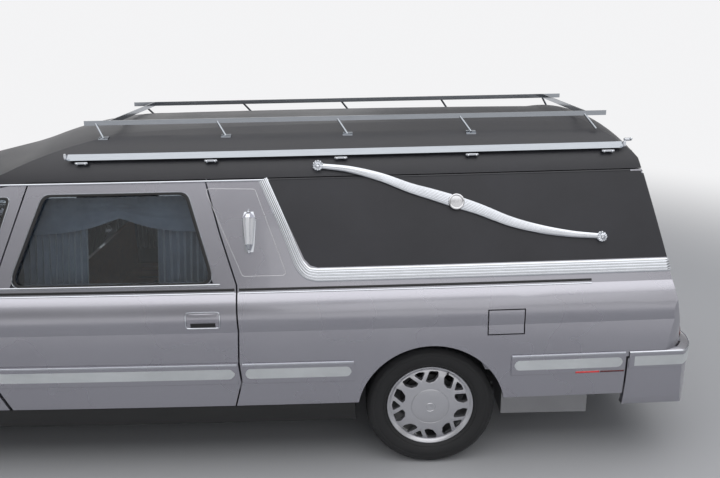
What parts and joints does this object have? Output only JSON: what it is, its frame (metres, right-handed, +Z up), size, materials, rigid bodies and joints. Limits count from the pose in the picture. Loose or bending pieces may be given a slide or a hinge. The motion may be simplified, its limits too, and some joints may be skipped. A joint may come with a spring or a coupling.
{
  "type": "hearse",
  "caption": "Long funeral coach with a raised vinyl roof, side and tail doors, curved side bars, roof rack, casket deck and steering front wheels.",
  "frame": {"origin": "centre of the footprint, on the ground under the tyres", "axes": "+X runs to the tail, -Y is the driver's side, +Z is up"},
  "size_m": [6.3, 2.2, 1.77],
  "materials": {
    "silver_paint": "metallic",
    "black_vinyl": "grained",
    "chrome": "polished",
    "clear_glass": "tinted",
    "dark_glass": "dark tinted",
    "lamp_glass": "clear",
    "red_lens": "glossy",
    "black_steel": "satin",
    "cast_metal": "cast",
    "dark_trim": "grained",
    "seat_leather": "smooth",
    "deck_wood": "varnished",
    "alloy": "painted",
    "tyre": "matte"
  },
  "bodies": {
    "body": {"cabin_frame": "silver_paint", "casket_deck": "deck_wood", "coach_lamps": "chrome", "cowl": "silver_paint", "dashboard": "dark_trim", "floor_pan": "black_steel", "front_bumper": "silver_paint", "front_fender_left": "silver_paint", "front_fender_right": "silver_paint", "front_seats": "seat_leather", "front_subframe": "black_steel", "grille": "chrome", "headlamps": "lamp_glass", "landau_bars": "chrome", "powertrain": "cast_metal", "quarter_left": "silver_paint", "quarter_right": "silver_paint", "rear_axle": "black_steel", "rear_bumper": "silver_paint", "roof": "black_vinyl", "roof_rails": "chrome", "tail_lamps": "red_lens", "windscreen": "clear_glass"},
    "front_door_left": {"front_door_left": "silver_paint", "front_door_glass_left": "clear_glass"},
    "front_door_right": {"front_door_right": "silver_paint", "front_door_glass_right": "clear_glass"},
    "rear_door_left": {"rear_door_left": "silver_paint", "rear_door_glass_left": "dark_glass"},
    "rear_door_right": {"rear_door_right": "silver_paint", "rear_door_glass_right": "dark_glass"},
    "tail_door": {"tail_door": "silver_paint", "tail_door_glass": "dark_glass"},
    "hood": {"hood": "silver_paint"},
    "fuel_door": {"fuel_door": "silver_paint"},
    "knuckle_left": {"knuckle_left": "black_steel"},
    "knuckle_right": {"knuckle_right": "black_steel"},
    "wheel_front_left": {"wheel_front_left": "alloy", "tyre_front_left": "tyre"},
    "wheel_front_right": {"wheel_front_right": "alloy", "tyre_front_right": "tyre"},
    "wheel_rear_left": {"wheel_rear_left": "alloy", "tyre_rear_left": "tyre"},
    "wheel_rear_right": {"wheel_rear_right": "alloy", "tyre_rear_right": "tyre"}
  },
  "joints": [
    {"name": "front_door_left_hinge", "type": "hinge", "parent": "body", "child": "front_door_left", "pos_m": [-1.445, -0.92, 0.605], "axis": [0, 0, -1], "range_deg": [0, 65]},
    {"name": "rear_door_left_hinge", "type": "hinge", "parent": "body", "child": "rear_door_left", "pos_m": [-0.376, -0.9415, 0.67], "axis": [0, 0, -1], "range_deg": [0, 65]},
    {"name": "steer_left", "type": "hinge", "parent": "body", "child": "knuckle_left", "pos_m": [-2.05, -0.74, 0.332], "axis": [0, 0, 1], "range_deg": [-33, 33]},
    {"name": "front_wheel_left_spin", "type": "hinge", "parent": "knuckle_left", "child": "wheel_front_left", "pos_m": [-2.05, -0.773, 0.332], "axis": [0, 1, 0], "continuous": true},
    {"name": "rear_wheel_left_spin", "type": "hinge", "parent": "body", "child": "wheel_rear_left", "pos_m": [1.77, -0.773, 0.332], "axis": [0, 1, 0], "continuous": true},
    {"name": "front_door_right_hinge", "type": "hinge", "parent": "body", "child": "front_door_right", "pos_m": [-1.445, 0.92, 0.605], "axis": [0, 0, 1], "range_deg": [0, 65]},
    {"name": "rear_door_right_hinge", "type": "hinge", "parent": "body", "child": "rear_door_right", "pos_m": [-0.376, 0.9415, 0.67], "axis": [0, 0, 1], "range_deg": [0, 65]},
    {"name": "steer_right", "type": "hinge", "parent": "body", "child": "knuckle_right", "pos_m": [-2.05, 0.74, 0.332], "axis": [0, 0, 1], "range_deg": [-33, 33]},
    {"name": "front_wheel_right_spin", "type": "hinge", "parent": "knuckle_right", "child": "wheel_front_right", "pos_m": [-2.05, 0.773, 0.332], "axis": [0, 1, 0], "continuous": true},
    {"name": "rear_wheel_right_spin", "type": "hinge", "parent": "body", "child": "wheel_rear_right", "pos_m": [1.77, 0.773, 0.332], "axis": [0, 1, 0], "continuous": true},
    {"name": "tail_door_hinge", "type": "hinge", "parent": "body", "child": "tail_door", "pos_m": [2.93486, -0.5994, 1.20244], "axis": [0.2561, -0.1869, -0.9484], "range_deg": [0, 95]},
    {"name": "hood_hinge", "type": "hinge", "parent": "body", "child": "hood", "pos_m": [-1.795, 0, 0.978], "axis": [0, 1, 0], "range_deg": [0, 50]},
    {"name": "fuel_door_hinge", "type": "hinge", "parent": "body", "child": "fuel_door", "pos_m": [2.064, -0.9139, 0.816], "axis": [0, 0.003, -1], "range_deg": [0, 100]}
  ],
  "couplings": [
    {"joint": "steer_right", "follows": "steer_left", "ratio": 1}
  ]
}
